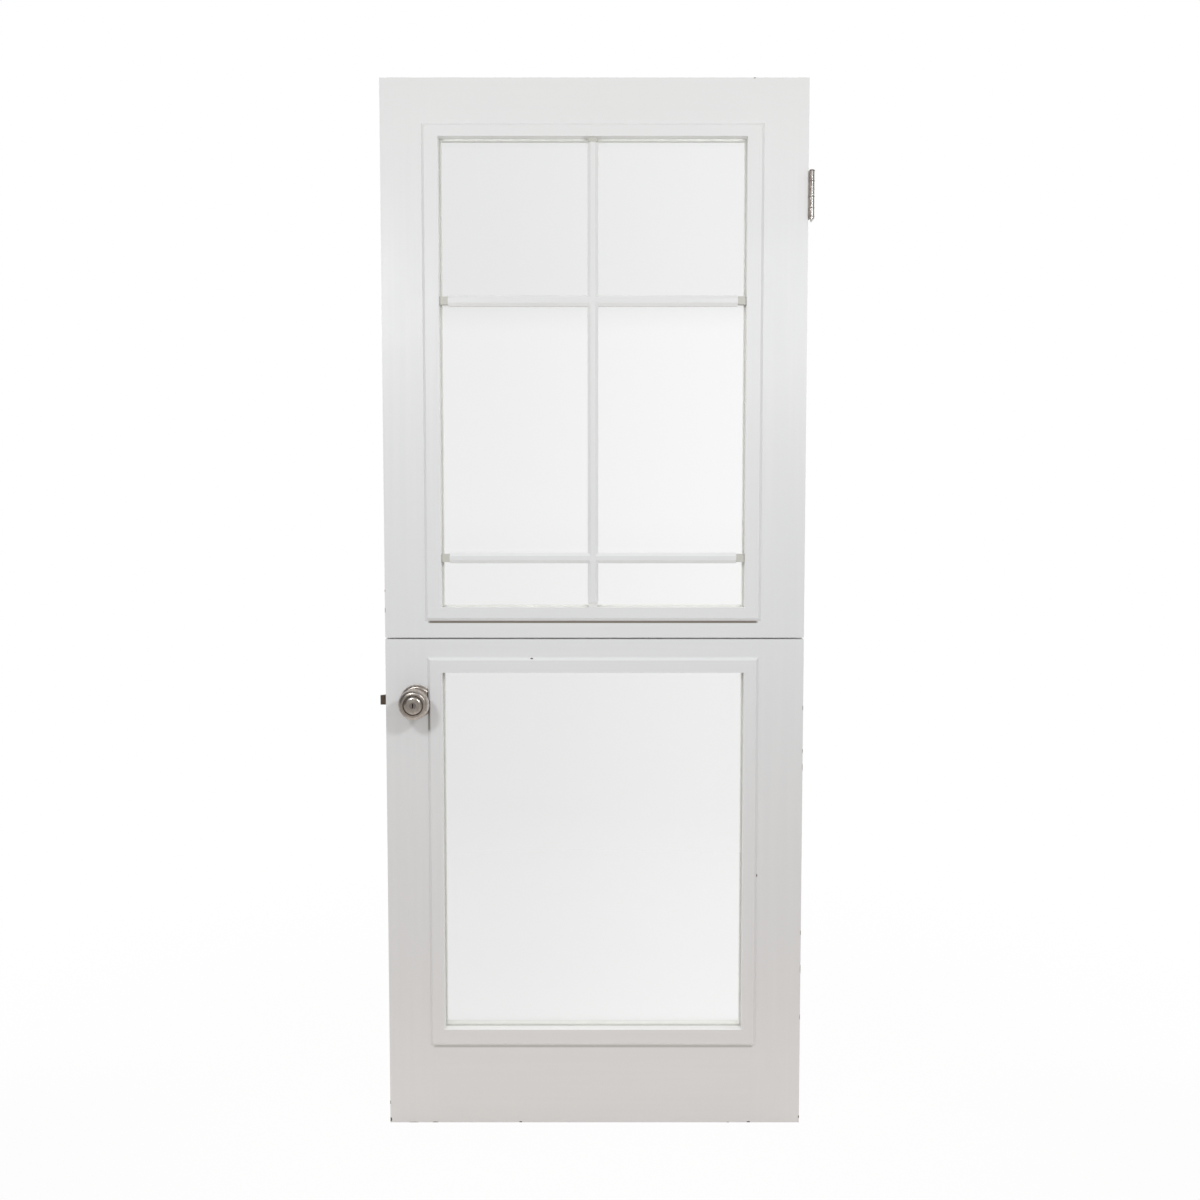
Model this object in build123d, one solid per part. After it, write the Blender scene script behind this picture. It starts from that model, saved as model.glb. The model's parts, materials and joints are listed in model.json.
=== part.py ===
from build123d import *
from collections import namedtuple
import math
import os

os.makedirs("parts", exist_ok=True)

# A dutch stable door: two leaves, one above the other, that can swing together or alone.
# Millimetres. X runs across the door from the middle of its width, Z up from its bottom edge,
# and Y through its thickness from the middle. The outer face, with the keyed knob, looks to -Y.

# The door blank and its two leaves
DOOR_WIDTH = 813.0
DOOR_HEIGHT = 2032.0
DOOR_THICKNESS = 44.5
LOWER_LEAF_HEIGHT = 966.5
MEETING_GAP = 3.0

# Stiles, rails and the dowels that join them
LATCH_STILE_WIDTH = 95.0
HINGE_STILE_WIDTH = 101.0
TOP_RAIL_HEIGHT = 94.5
UPPER_MEETING_RAIL_HEIGHT = 44.0
LOWER_MEETING_RAIL_HEIGHT = 50.0
BOTTOM_RAIL_HEIGHT = 176.0
DOWEL_RADIUS = 6.0
DOWEL_LENGTH = 80.0
DOWEL_EDGE_DISTANCE = 12.5
DOWEL_FIT = 0.05
DOWEL_END_GAP = 1.0

# Glazing mouldings: a flange on the face of the door and a leg in the opening
MOULD_LIP = 15.0
MOULD_THICKNESS = 6.0
MOULD_FOOT = 1.0
MOULD_FIT = 0.3
UPPER_COVER_TOP = 10.0
UPPER_COVER_SIDE = 16.5
UPPER_COVER_BOTTOM = 10.5
LOWER_COVER_TOP = 14.2
LOWER_COVER_SIDE = 13.0
LOWER_COVER_BOTTOM = 18.0
MOULD_SCREW_INSET = 3.2
MOULD_SCREW_COVER = 11.5
SCREWS_PER_SIDE = 3
SCREWS_PER_RAIL = 2

# Sealed glass units
REVEAL_DEPTH = 23.25
PANE_THICKNESS = 3.0
PANE_SPACING = 13.0
UNIT_EDGE_GAP = 6.0
SPACER_SHOW = 3.3

# Muntin grille on the outer pane of the upper leaf
TOP_LIGHT_HEIGHT = 295.7
BOTTOM_LIGHT_HEIGHT = 85.2
BAR_WIDTH = 20.5
BAR_FLAT = 8.5
BAR_DEPTH = 15.7
BAR_GLASS_GAP = 0.3
CROSS_CLIP_LENGTH = 16.0
CROSS_CLIP_WIDTH = 15.4
UPRIGHT_CLIP_LENGTH = 9.0
UPRIGHT_CLIP_WIDTH = 17.5
CLIP_DEPTH = 14.7
CLIP_END_WALL = 2.0
TONGUE_WIDTH = 8.0
TONGUE_DEPTH = 6.0
TONGUE_FIT = 0.1

# Butt hinge of the upper leaf, with the knuckle lengths listed from the top
PIN_RADIUS = 3.0
PIN_FIT = 0.05
PIN_TIP_RADIUS = 5.0
PIN_TIP_HEIGHT = 2.0
HINGE_PLATE_THICKNESS = 2.4
HINGE_REACH = 39.0
HINGE_FACE_GAP = 0.6
HINGE_FROM_TOP = 173.7
KNUCKLE_LENGTHS = (20.0, 15.0, 14.0, 21.0, 19.0)
KNUCKLE_GAP = 0.4
HINGE_SCREW_RISE = 32.0
NEAR_SCREW_REACH = 24.0
FAR_SCREW_REACH = 31.0

# Lockset in the lower leaf, with its axis measured down from the leaf's top edge
LOCK_DROP = 121.1
BACKSET = 60.3
CROSS_BORE_RADIUS = 27.0
FACEPLATE_HEIGHT = 57.2
FACEPLATE_WIDTH = 25.4
FACEPLATE_THICKNESS = 2.5
FACEPLATE_FIT = 0.15
FACEPLATE_SCREW_RISE = 21.0
BOLT_HEIGHT = 18.7
BOLT_THICKNESS = 12.0
BOLT_PROUD = 13.0
BOLT_NOSE = 2.5
LATCH_THROW = 12.0
BOLT_FIT = 0.3
CASE_WALL = 0.9
CASE_FIT = 0.5
HUB_RADIUS = 8.5
HUB_FIT = 0.1
YOKE_GAP = 0.5
YOKE_THICKNESS = 1.2
YOKE_WIDTH = 7.0
SPINDLE_WIDTH = 7.6
SPINDLE_FIT = 0.05
SPINDLE_REACH = 30.0

# Roses
ROSE_RADIUS = 32.5
ROSE_HEIGHT = 9.0
ROSE_WALL = 1.5
ROSE_ROUNDING = 7.0
ROSE_TRIM_GAP = 0.3
ROSE_SCREW_RISE = 20.0
POST_RADIUS = 4.0
POST_END = 8.0

# Knobs, measured from the face of the door
KNOB_PROJECTION = 65.0
KNOB_RADIUS = 29.6
KNOB_WIDEST = 46.0
NECK_START = 5.0
NECK_RADIUS = 12.0
NECK_FIT = 0.3
WAIST_RADIUS = 11.0
WAIST_END = 24.0
KNOB_RIM_RADIUS = 19.8
KNOB_RIM_DROP = 2.5
DISC_RADIUS = 17.5
GROOVE_DEPTH = 2.5
DISC_FLAT_RADIUS = 11.0
DISC_SHOULDER = 3.0
PLUG_RADIUS = 6.35
PLUG_FIT = 0.05
PLUG_LENGTH = 28.0
KEYWAY_WIDTH = 2.0
KEYWAY_HEIGHT = 8.5
KEYWAY_DEPTH = 24.0
BUTTON_STEM_RADIUS = 4.0
BUTTON_WIDTH = 14.0
BUTTON_THICKNESS = 5.0
BUTTON_HEIGHT = 8.0
BUTTON_LIFT = 0.3

# Joining bolt on the inner face, which locks the two leaves together
JOINER_FROM_EDGE = 39.5
JOINER_PLATE_WIDTH = 40.0
JOINER_PLATE_HEIGHT = 100.0
JOINER_PLATE_THICKNESS = 2.5
JOINER_PLATE_RISE = 5.5
GUIDE_WIDTH = 18.0
GUIDE_HEIGHT = 16.0
GUIDE_COVER = 2.0
RODBOLT_RADIUS = 5.0
RODBOLT_FIT = 0.05
RODBOLT_LENGTH = 95.0
RODBOLT_RISE = 3.5
RODBOLT_TRAVEL = 28.0
FINGER_RADIUS = 3.5
FINGER_LENGTH = 14.0
FINGER_KNOB_RADIUS = 6.0
FINGER_FROM_TOP = 35.0
KEEPER_HEIGHT = 30.0
KEEPER_DROP = 6.5
KEEPER_LOOP_HEIGHT = 20.0
KEEPER_FIT = 0.8
KEEPER_STRAP = 3.0
JOINER_SCREW_INSET = 5.5

# Screws: shank and head radius and the whole length
Screw = namedtuple("Screw", "shank head length")
MOULD_SCREW = Screw(1.6, 3.2, DOOR_THICKNESS + 2 * MOULD_THICKNESS - MOULD_SCREW_COVER)
HINGE_SCREW = Screw(2.4, 3.85, 27.0)
HINGE_SCREW_SINK = 0.35
FACEPLATE_SCREW = Screw(1.8, 3.3, 22.0)
ROSE_SCREW = Screw(2.0, 3.4, 33.0)
JOINER_SCREW = Screw(1.7, 3.3, 17.0)
SCREW_FIT = 0.05

# Places that follow from the sizes above
FACE = DOOR_THICKNESS / 2
LATCH_EDGE = -DOOR_WIDTH / 2
HINGE_EDGE = DOOR_WIDTH / 2
THROUGH = (-DOOR_THICKNESS, DOOR_THICKNESS)
UNIT_FRONT = -FACE - MOULD_THICKNESS + REVEAL_DEPTH
UNIT_BACK = UNIT_FRONT + PANE_THICKNESS + PANE_SPACING + PANE_THICKNESS
BAR_BASE = UNIT_FRONT - BAR_GLASS_GAP
BAR_TOP = BAR_BASE - BAR_DEPTH
KNUCKLE_RADIUS = PIN_RADIUS + HINGE_PLATE_THICKNESS
PIN_STANDOFF = KNUCKLE_RADIUS + HINGE_FACE_GAP
PIN_X = HINGE_EDGE + KNUCKLE_RADIUS
PIN_Y = -FACE - PIN_STANDOFF
HINGE_TOP = DOOR_HEIGHT - HINGE_FROM_TOP
HINGE_BOTTOM = HINGE_TOP - sum(KNUCKLE_LENGTHS)
LOCK_X = LATCH_EDGE + BACKSET
LOCK_HEIGHT = LOWER_LEAF_HEIGHT - LOCK_DROP
CASE_INNER = math.hypot(BOLT_HEIGHT, BOLT_THICKNESS) / 2 + BOLT_FIT
CASE_OUTER = CASE_INNER + CASE_WALL
EDGE_BORE_RADIUS = CASE_OUTER + CASE_FIT
YOKE_BACK = LOCK_X + HUB_RADIUS + YOKE_GAP + YOKE_THICKNESS
CASE_END = YOKE_BACK + LATCH_THROW + YOKE_GAP + CASE_WALL
JOINER_X = LATCH_EDGE + JOINER_FROM_EDGE
JOINER_FACE = FACE + JOINER_PLATE_THICKNESS
RODBOLT_Y = JOINER_FACE + GUIDE_COVER + RODBOLT_RADIUS
MEETING_EDGE = LOWER_LEAF_HEIGHT + MEETING_GAP

Rect = namedtuple("Rect", "left right bottom top")
Leaf = namedtuple("Leaf", "edge hole sight trim full_piece")


# Basic solids
def block(x, y, z):
    """Box between two limits along each axis."""
    middle = Pos(sum(x) / 2, sum(y) / 2, sum(z) / 2)
    return middle * Box(abs(x[1] - x[0]), abs(y[1] - y[0]), abs(z[1] - z[0]))


def rod(radius, start, end, end_radius=None):
    """Round bar, or a cone where the end has a radius of its own."""
    along = Vector(end) - Vector(start)
    upright = (Align.CENTER, Align.CENTER, Align.MIN)
    if end_radius is None:
        solid = Cylinder(radius, along.length, align=upright)
    else:
        solid = Cone(radius, end_radius, along.length, align=upright)
    return Plane(origin=start, z_dir=along) * solid


def slab(rect, y):
    """Box over a rectangle of the door's face, between two depths."""
    return block((rect.left, rect.right), y, (rect.bottom, rect.top))


def prism(points, y):
    """Solid between two depths with an outline in X and Z."""
    outline = Polyline(*[(px, y[0], pz) for px, pz in points], close=True)
    return extrude(make_face(outline), y[1] - y[0], dir=(0, 1, 0))


def screw(kind, start, direction, fit=0.0):
    """Countersunk screw with its head flush at start, or the hole for it with a fit."""
    head_depth = kind.head - kind.shank
    origin = Vector(start)
    along = Vector(direction)
    neck = origin + along * head_depth
    tip = origin + along * (kind.length + fit)
    head = rod(kind.head + fit, origin, neck, kind.shank + fit)
    return head + rod(kind.shank + fit, origin + along * (head_depth / 2), tip)


def grown(rect, side, bottom=None, top=None):
    """Rectangle with its edges moved out, or in by a negative amount."""
    bottom = side if bottom is None else bottom
    top = side if top is None else top
    return Rect(rect.left - side, rect.right + side, rect.bottom - bottom, rect.top + top)


def spread(low, high, count):
    """Middles of the equal shares of a length."""
    share = (high - low) / count
    return [low + share * (number + 0.5) for number in range(count)]


# The two leaves, each with its opening, its sight line and the outline of its mouldings
def make_leaf(bottom, top, rails, cover, full_piece):
    """Rails are the bottom and top rail heights, cover is how far the flange laps the face."""
    edge = Rect(LATCH_EDGE, HINGE_EDGE, bottom, top)
    hole = Rect(edge.left + LATCH_STILE_WIDTH, edge.right - HINGE_STILE_WIDTH,
                bottom + rails[0], top - rails[1])
    return Leaf(edge, hole, grown(hole, -MOULD_LIP), grown(hole, *cover), full_piece)


UPPER = make_leaf(MEETING_EDGE, DOOR_HEIGHT, (UPPER_MEETING_RAIL_HEIGHT, TOP_RAIL_HEIGHT),
                  (UPPER_COVER_SIDE, UPPER_COVER_BOTTOM, UPPER_COVER_TOP), "bottom")
LOWER = make_leaf(0.0, LOWER_LEAF_HEIGHT, (BOTTOM_RAIL_HEIGHT, LOWER_MEETING_RAIL_HEIGHT),
                  (LOWER_COVER_SIDE, LOWER_COVER_BOTTOM, LOWER_COVER_TOP), "top")


# Stiles, rails and dowels
def dowels(leaf, fit=0.0, end_gap=0.0):
    """Two dowels in each joint of a rail with a stile, or their bores with a fit."""
    reach = DOWEL_LENGTH / 2 + end_gap
    rails = ((leaf.edge.bottom, leaf.hole.bottom), (leaf.hole.top, leaf.edge.top))
    heights = [z for low, high in rails for z in (low + DOWEL_EDGE_DISTANCE, high - DOWEL_EDGE_DISTANCE)]
    return [rod(DOWEL_RADIUS + fit, (x - reach, 0, z), (x + reach, 0, z))
            for x in (leaf.hole.left, leaf.hole.right) for z in heights]


def bored(leaf, piece):
    """Stile or rail with the bores for its dowels."""
    return piece - dowels(leaf, DOWEL_FIT, DOWEL_END_GAP)


def timbers(leaf):
    """Latch stile, hinge stile, bottom rail and top rail of a leaf."""
    edge, hole = leaf.edge, leaf.hole
    y = (-FACE, FACE)
    outlines = (
        Rect(edge.left, hole.left, edge.bottom, edge.top),
        Rect(hole.right, edge.right, edge.bottom, edge.top),
        Rect(hole.left, hole.right, edge.bottom, hole.bottom),
        Rect(hole.left, hole.right, hole.top, edge.top),
    )
    return [bored(leaf, slab(outline, y)) for outline in outlines]


# Mouldings round the glass
def mould_screws(leaf, fit=0.0):
    """Screws from the inner face that draw the two rings of moulding together."""
    rim = grown(leaf.hole, -MOULD_SCREW_INSET)
    places = [(x, z) for x in (rim.left, rim.right)
              for z in spread(rim.bottom, rim.top, SCREWS_PER_SIDE)]
    places += [(x, z) for z in (rim.bottom, rim.top)
               for x in spread(rim.left, rim.right, SCREWS_PER_RAIL)]
    back = FACE + MOULD_THICKNESS
    return [screw(MOULD_SCREW, (x, back, z), (0, -1, 0), fit) for x, z in places]


def mould_ring(leaf, side):
    """Flange with a bevelled outer edge and a leg down to the glass, on one face of the door."""
    face = side * FACE
    crest = side * (FACE + MOULD_THICKNESS)
    glass = UNIT_FRONT if side < 0 else UNIT_BACK
    flange = slab(leaf.trim, (face, crest))
    crest_face = flange.faces().sort_by(Axis((0, 0, 0), (0, side, 0)))[-1]
    flange = chamfer(crest_face.edges(), MOULD_THICKNESS - MOULD_FOOT)
    leg = slab(grown(leaf.hole, -MOULD_FIT), (face, glass))
    return flange + leg - slab(leaf.sight, THROUGH) - mould_screws(leaf, SCREW_FIT)


def mould_outlines(leaf):
    """The ring's four pieces: one runs full width, and the corners away from it are mitred."""
    trim, sight = leaf.trim, leaf.sight
    if leaf.full_piece == "bottom":
        near, near_sight, far_sight, far, mitred = trim.bottom, sight.bottom, sight.top, trim.top, "top"
    else:
        near, near_sight, far_sight, far, mitred = trim.top, sight.top, sight.bottom, trim.bottom, "bottom"
    return {
        leaf.full_piece: ((trim.left, near), (trim.right, near),
                          (trim.right, near_sight), (trim.left, near_sight)),
        mitred: ((sight.left, far_sight), (sight.right, far_sight), (trim.right, far), (trim.left, far)),
        "left": ((trim.left, near_sight), (sight.left, near_sight), (sight.left, far_sight), (trim.left, far)),
        "right": ((trim.right, near_sight), (sight.right, near_sight),
                  (sight.right, far_sight), (trim.right, far)),
    }


def mouldings(leaf, side):
    ring = mould_ring(leaf, side)
    return {place: ring & prism(outline, THROUGH) for place, outline in mould_outlines(leaf).items()}


# Sealed glass unit: two panes on a spacer whose inner edge shows inside the sight line
def glass_unit(leaf):
    unit = grown(leaf.hole, -UNIT_EDGE_GAP)
    inner_face = UNIT_FRONT + PANE_THICKNESS
    outer_face = inner_face + PANE_SPACING
    front = slab(unit, (UNIT_FRONT, inner_face))
    back = slab(unit, (outer_face, UNIT_BACK))
    spacer = slab(unit, (inner_face, outer_face)) - slab(grown(leaf.sight, -SPACER_SHOW), THROUGH)
    return front, back, spacer


# Muntin grille: bevelled bars, half-lapped where they cross, with tongued ends in clips
BAR_MIDDLE_X = (UPPER.sight.left + UPPER.sight.right) / 2
UPPER_CROSS_Z = UPPER.sight.top - TOP_LIGHT_HEIGHT - BAR_WIDTH / 2
LOWER_CROSS_Z = UPPER.sight.bottom + BOTTOM_LIGHT_HEIGHT + BAR_WIDTH / 2
CLIP_Y = (BAR_BASE - CLIP_DEPTH, BAR_BASE)
TONGUE_Y = (BAR_BASE - (CLIP_DEPTH + TONGUE_DEPTH) / 2, BAR_BASE - (CLIP_DEPTH - TONGUE_DEPTH) / 2)


def bevelled(bar, along):
    """Bar with its two long outer edges cut back to leave the flat."""
    crest = bar.faces().sort_by(Axis.Y)[0]
    return chamfer(crest.edges().filter_by(along), (BAR_WIDTH - BAR_FLAT) / 2)


def cross_bar(z):
    """Horizontal bar between its two clips, tongues included."""
    half, clip = BAR_WIDTH / 2, CROSS_CLIP_LENGTH
    ends = (UPPER.sight.left + clip, UPPER.sight.right - clip)
    bar = bevelled(block(ends, (BAR_TOP, BAR_BASE), (z - half, z + half)), Axis.X)
    reach = clip - CLIP_END_WALL - TONGUE_FIT
    tongue = (z - TONGUE_WIDTH / 2, z + TONGUE_WIDTH / 2)
    return bar + block((ends[0] - reach, ends[1] + reach), TONGUE_Y, tongue)


def upright_bar():
    """Vertical bar between its two clips, tongues included."""
    half, clip = BAR_WIDTH / 2, UPRIGHT_CLIP_LENGTH
    ends = (UPPER.sight.bottom + clip, UPPER.sight.top - clip)
    x = (BAR_MIDDLE_X - half, BAR_MIDDLE_X + half)
    bar = bevelled(block(x, (BAR_TOP, BAR_BASE), ends), Axis.Z)
    reach = clip - CLIP_END_WALL - TONGUE_FIT
    tongue = (BAR_MIDDLE_X - TONGUE_WIDTH / 2, BAR_MIDDLE_X + TONGUE_WIDTH / 2)
    return bar + block(tongue, TONGUE_Y, (ends[0] - reach, ends[1] + reach))


def clip_block(x, z, pocket_x, pocket_z):
    """Clip with a pocket that is open towards the bar."""
    pocket_y = (TONGUE_Y[0] - TONGUE_FIT, TONGUE_Y[1] + TONGUE_FIT)
    return block(x, CLIP_Y, z) - block(pocket_x, pocket_y, pocket_z)


def clips():
    """Two clips for each cross bar and two for the upright, all against the sight line."""
    pocket_half = TONGUE_WIDTH / 2 + TONGUE_FIT
    found = []
    for z in (UPPER_CROSS_Z, LOWER_CROSS_Z):
        half = CROSS_CLIP_WIDTH / 2
        for wall, inward in ((UPPER.sight.left, 1), (UPPER.sight.right, -1)):
            x = sorted((wall, wall + inward * CROSS_CLIP_LENGTH))
            pocket = sorted((wall + inward * CLIP_END_WALL, wall + inward * CROSS_CLIP_LENGTH))
            found.append(clip_block(x, (z - half, z + half), pocket, (z - pocket_half, z + pocket_half)))
    half = UPRIGHT_CLIP_WIDTH / 2
    for wall, inward in ((UPPER.sight.bottom, 1), (UPPER.sight.top, -1)):
        z = sorted((wall, wall + inward * UPRIGHT_CLIP_LENGTH))
        pocket = sorted((wall + inward * CLIP_END_WALL, wall + inward * UPRIGHT_CLIP_LENGTH))
        found.append(clip_block((BAR_MIDDLE_X - half, BAR_MIDDLE_X + half), z,
                                (BAR_MIDDLE_X - pocket_half, BAR_MIDDLE_X + pocket_half), pocket))
    return found


def grille():
    """Upright and both cross bars: each cross keeps the outer half of the lap."""
    upright = upright_bar()
    lap = (BAR_TOP + BAR_BASE) / 2
    behind = upright & slab(UPPER.sight, (lap, BAR_BASE))
    crosses = [cross_bar(z) - behind for z in (UPPER_CROSS_Z, LOWER_CROSS_Z)]
    return [upright - crosses] + crosses


# Butt hinge
def knuckle_spans():
    """Bottom and top of each knuckle, from the top one down, with half a gap at each joint."""
    spans, top = [], HINGE_TOP
    for length in KNUCKLE_LENGTHS:
        spans.append((top - length + KNUCKLE_GAP / 2, top - KNUCKLE_GAP / 2))
        top -= length
    return spans


def hinge_screw_places(side, sink):
    """Three starts below the inner face of a plate, staggered against those of the other plate."""
    x = PIN_X + side * (KNUCKLE_RADIUS - HINGE_PLATE_THICKNESS + sink)
    middle = (HINGE_TOP + HINGE_BOTTOM) / 2
    if side < 0:
        end_reach, middle_reach = NEAR_SCREW_REACH, FAR_SCREW_REACH
    else:
        end_reach, middle_reach = FAR_SCREW_REACH, NEAR_SCREW_REACH
    places = ((middle - HINGE_SCREW_RISE, end_reach), (middle, middle_reach),
              (middle + HINGE_SCREW_RISE, end_reach))
    return [(x, PIN_Y + reach, z) for z, reach in places]


def hinge_screws():
    """The door's screws, whose heads lie a little below the face of the plate."""
    return [screw(HINGE_SCREW, start, (-1, 0, 0)) for start in hinge_screw_places(-1, HINGE_SCREW_SINK)]


def hinge_screw_holes(side):
    """Countersunk holes of one plate, deep enough to sink the heads."""
    hole = Screw(HINGE_SCREW.shank, HINGE_SCREW.head + HINGE_SCREW_SINK, HINGE_SCREW.length + HINGE_SCREW_SINK)
    return [screw(hole, start, (side, 0, 0), SCREW_FIT) for start in hinge_screw_places(side, 0.0)]


def hinge_plate(side, spans):
    """One half of the hinge: side is -1 for the door's plate and 1 for the jamb's."""
    outside = PIN_X + side * KNUCKLE_RADIUS
    x = (outside, outside - side * HINGE_PLATE_THICKNESS)
    plate = block(x, (PIN_Y + PIN_STANDOFF, PIN_Y + HINGE_REACH), (HINGE_BOTTOM, HINGE_TOP))
    for low, high in spans:
        plate += block(x, (PIN_Y, PIN_Y + PIN_STANDOFF), (low, high))
        plate += rod(KNUCKLE_RADIUS, (PIN_X, PIN_Y, low), (PIN_X, PIN_Y, high))
    bore = rod(PIN_RADIUS + PIN_FIT, (PIN_X, PIN_Y, HINGE_BOTTOM), (PIN_X, PIN_Y, HINGE_TOP))
    return plate - bore - hinge_screw_holes(side)


def pin_tip(z, end_z):
    """Low button on one end of the pin, with a rounded rim."""
    button = rod(PIN_TIP_RADIUS, (PIN_X, PIN_Y, z), (PIN_X, PIN_Y, end_z))
    end_face = max(button.faces(), key=lambda face: abs(face.center().Z - z))
    return fillet(end_face.edges(), PIN_TIP_HEIGHT * 0.8)


def hinge_pin():
    shank = rod(PIN_RADIUS, (PIN_X, PIN_Y, HINGE_BOTTOM), (PIN_X, PIN_Y, HINGE_TOP))
    top_tip = pin_tip(HINGE_TOP, HINGE_TOP + PIN_TIP_HEIGHT)
    return shank + top_tip + pin_tip(HINGE_BOTTOM, HINGE_BOTTOM - PIN_TIP_HEIGHT)


# Latch in the edge of the lower leaf
def lock_point(depth):
    return (LOCK_X, depth, LOCK_HEIGHT)


def lock_bores():
    """Cross bore, edge bore and the shallow seat of the faceplate."""
    cross = rod(CROSS_BORE_RADIUS, lock_point(-DOOR_THICKNESS), lock_point(DOOR_THICKNESS))
    edge = rod(EDGE_BORE_RADIUS, (LATCH_EDGE, 0, LOCK_HEIGHT), lock_point(0))
    return [cross, edge, faceplate(FACEPLATE_FIT)]


def faceplate(fit=0.0):
    half_height = FACEPLATE_HEIGHT / 2 + fit
    half_width = FACEPLATE_WIDTH / 2 + fit
    return block((LATCH_EDGE, LATCH_EDGE + FACEPLATE_THICKNESS), (-half_width, half_width),
                 (LOCK_HEIGHT - half_height, LOCK_HEIGHT + half_height))


def faceplate_screws(fit=0.0):
    return [screw(FACEPLATE_SCREW, (LATCH_EDGE, 0, LOCK_HEIGHT + rise), (1, 0, 0), fit)
            for rise in (-FACEPLATE_SCREW_RISE, FACEPLATE_SCREW_RISE)]


def latch_case():
    """Faceplate with a closed tube behind it, pierced for the bolt and for the hub."""
    start = LATCH_EDGE + FACEPLATE_THICKNESS
    tube = rod(CASE_OUTER, (start, 0, LOCK_HEIGHT), (CASE_END, 0, LOCK_HEIGHT))
    tube -= rod(CASE_INNER, (start, 0, LOCK_HEIGHT), (CASE_END - CASE_WALL, 0, LOCK_HEIGHT))
    half_thickness = BOLT_THICKNESS / 2 + BOLT_FIT
    half_height = BOLT_HEIGHT / 2 + BOLT_FIT
    slot = block((LATCH_EDGE, start), (-half_thickness, half_thickness),
                 (LOCK_HEIGHT - half_height, LOCK_HEIGHT + half_height))
    hub_hole = rod(HUB_RADIUS + HUB_FIT, lock_point(-CASE_OUTER), lock_point(CASE_OUTER))
    return faceplate() - slot + tube - hub_hole - faceplate_screws(SCREW_FIT)


def latch_bolt():
    """Bevelled bolt with a yoke that runs round the hub to its far side."""
    half = BOLT_THICKNESS / 2
    tip = LATCH_EDGE - BOLT_PROUD
    tail = LOCK_X - HUB_RADIUS - LATCH_THROW - YOKE_GAP
    slope_end = tip + BOLT_THICKNESS - BOLT_NOSE
    low = LOCK_HEIGHT - BOLT_HEIGHT / 2
    corners = ((tip, -half), (tip, -half + BOLT_NOSE), (slope_end, half), (tail, half), (tail, -half))
    section = make_face(Polyline(*[(x, y, low) for x, y in corners], close=True))
    bolt = extrude(section, BOLT_HEIGHT, dir=(0, 0, 1))
    yoke_y = (-YOKE_WIDTH / 2, YOKE_WIDTH / 2)
    inner = HUB_RADIUS + YOKE_GAP
    outer = inner + YOKE_THICKNESS
    yoke = block((tail - YOKE_THICKNESS, YOKE_BACK), yoke_y, (LOCK_HEIGHT - outer, LOCK_HEIGHT + outer))
    yoke -= block((tail, YOKE_BACK - YOKE_THICKNESS), yoke_y, (LOCK_HEIGHT - inner, LOCK_HEIGHT + inner))
    return bolt + yoke


# Knobs, roses, spindle and key plug
def outward(side, distance):
    """Depth of a point in front of one face of the door."""
    return side * (FACE + distance)


def turned(side, outline):
    """Solid of revolution about the knobs' axis from radii and distances off the face."""
    plane = Plane(origin=lock_point(side * FACE), x_dir=(1, 0, 0), z_dir=(0, 0, side))
    return revolve(plane * make_face(outline), axis=Axis(plane.origin, plane.y_dir))


def square_bar(width, start, end):
    half = width / 2
    return block((LOCK_X - half, LOCK_X + half), (start, end), (LOCK_HEIGHT - half, LOCK_HEIGHT + half))


def spindle():
    """Square bar with the round hub that turns in the latch case."""
    reach = FACE + SPINDLE_REACH
    hub_half = CASE_OUTER + YOKE_GAP
    return square_bar(SPINDLE_WIDTH, -reach, reach) + rod(HUB_RADIUS, lock_point(-hub_half), lock_point(hub_half))


def rose_dome(side, radius, height, rounding):
    dome = rod(radius, lock_point(side * FACE), lock_point(outward(side, height)))
    crest = dome.faces().sort_by(Axis((0, 0, 0), (0, side, 0)))[-1]
    return fillet(crest.edges(), rounding)


def rose_screws(fit=0.0):
    """Two screws through the inner rose into the posts of the outer one."""
    start = outward(1, ROSE_HEIGHT)
    return [screw(ROSE_SCREW, (LOCK_X, start, LOCK_HEIGHT + rise), (0, -1, 0), fit)
            for rise in (-ROSE_SCREW_RISE, ROSE_SCREW_RISE)]


def rose(side):
    """Pressed shell, cut short beside the moulding."""
    shell = rose_dome(side, ROSE_RADIUS, ROSE_HEIGHT, ROSE_ROUNDING)
    shell -= rose_dome(side, ROSE_RADIUS - ROSE_WALL, ROSE_HEIGHT - ROSE_WALL, ROSE_ROUNDING - ROSE_WALL)
    shell -= rod(NECK_RADIUS + NECK_FIT, lock_point(side * FACE), lock_point(outward(side, ROSE_HEIGHT)))
    cut = LOWER.trim.left - ROSE_TRIM_GAP
    shell -= block((cut, cut + ROSE_RADIUS), (side * FACE, outward(side, ROSE_HEIGHT)),
                   (LOCK_HEIGHT - ROSE_RADIUS, LOCK_HEIGHT + ROSE_RADIUS))
    if side > 0:
        return shell - rose_screws(SCREW_FIT)
    for rise in (-ROSE_SCREW_RISE, ROSE_SCREW_RISE):
        z = LOCK_HEIGHT + rise
        start = outward(side, ROSE_HEIGHT - ROSE_WALL)
        shell += rod(POST_RADIUS, (LOCK_X, start, z), (LOCK_X, POST_END, z))
    return shell - rose_screws(SCREW_FIT)


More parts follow.
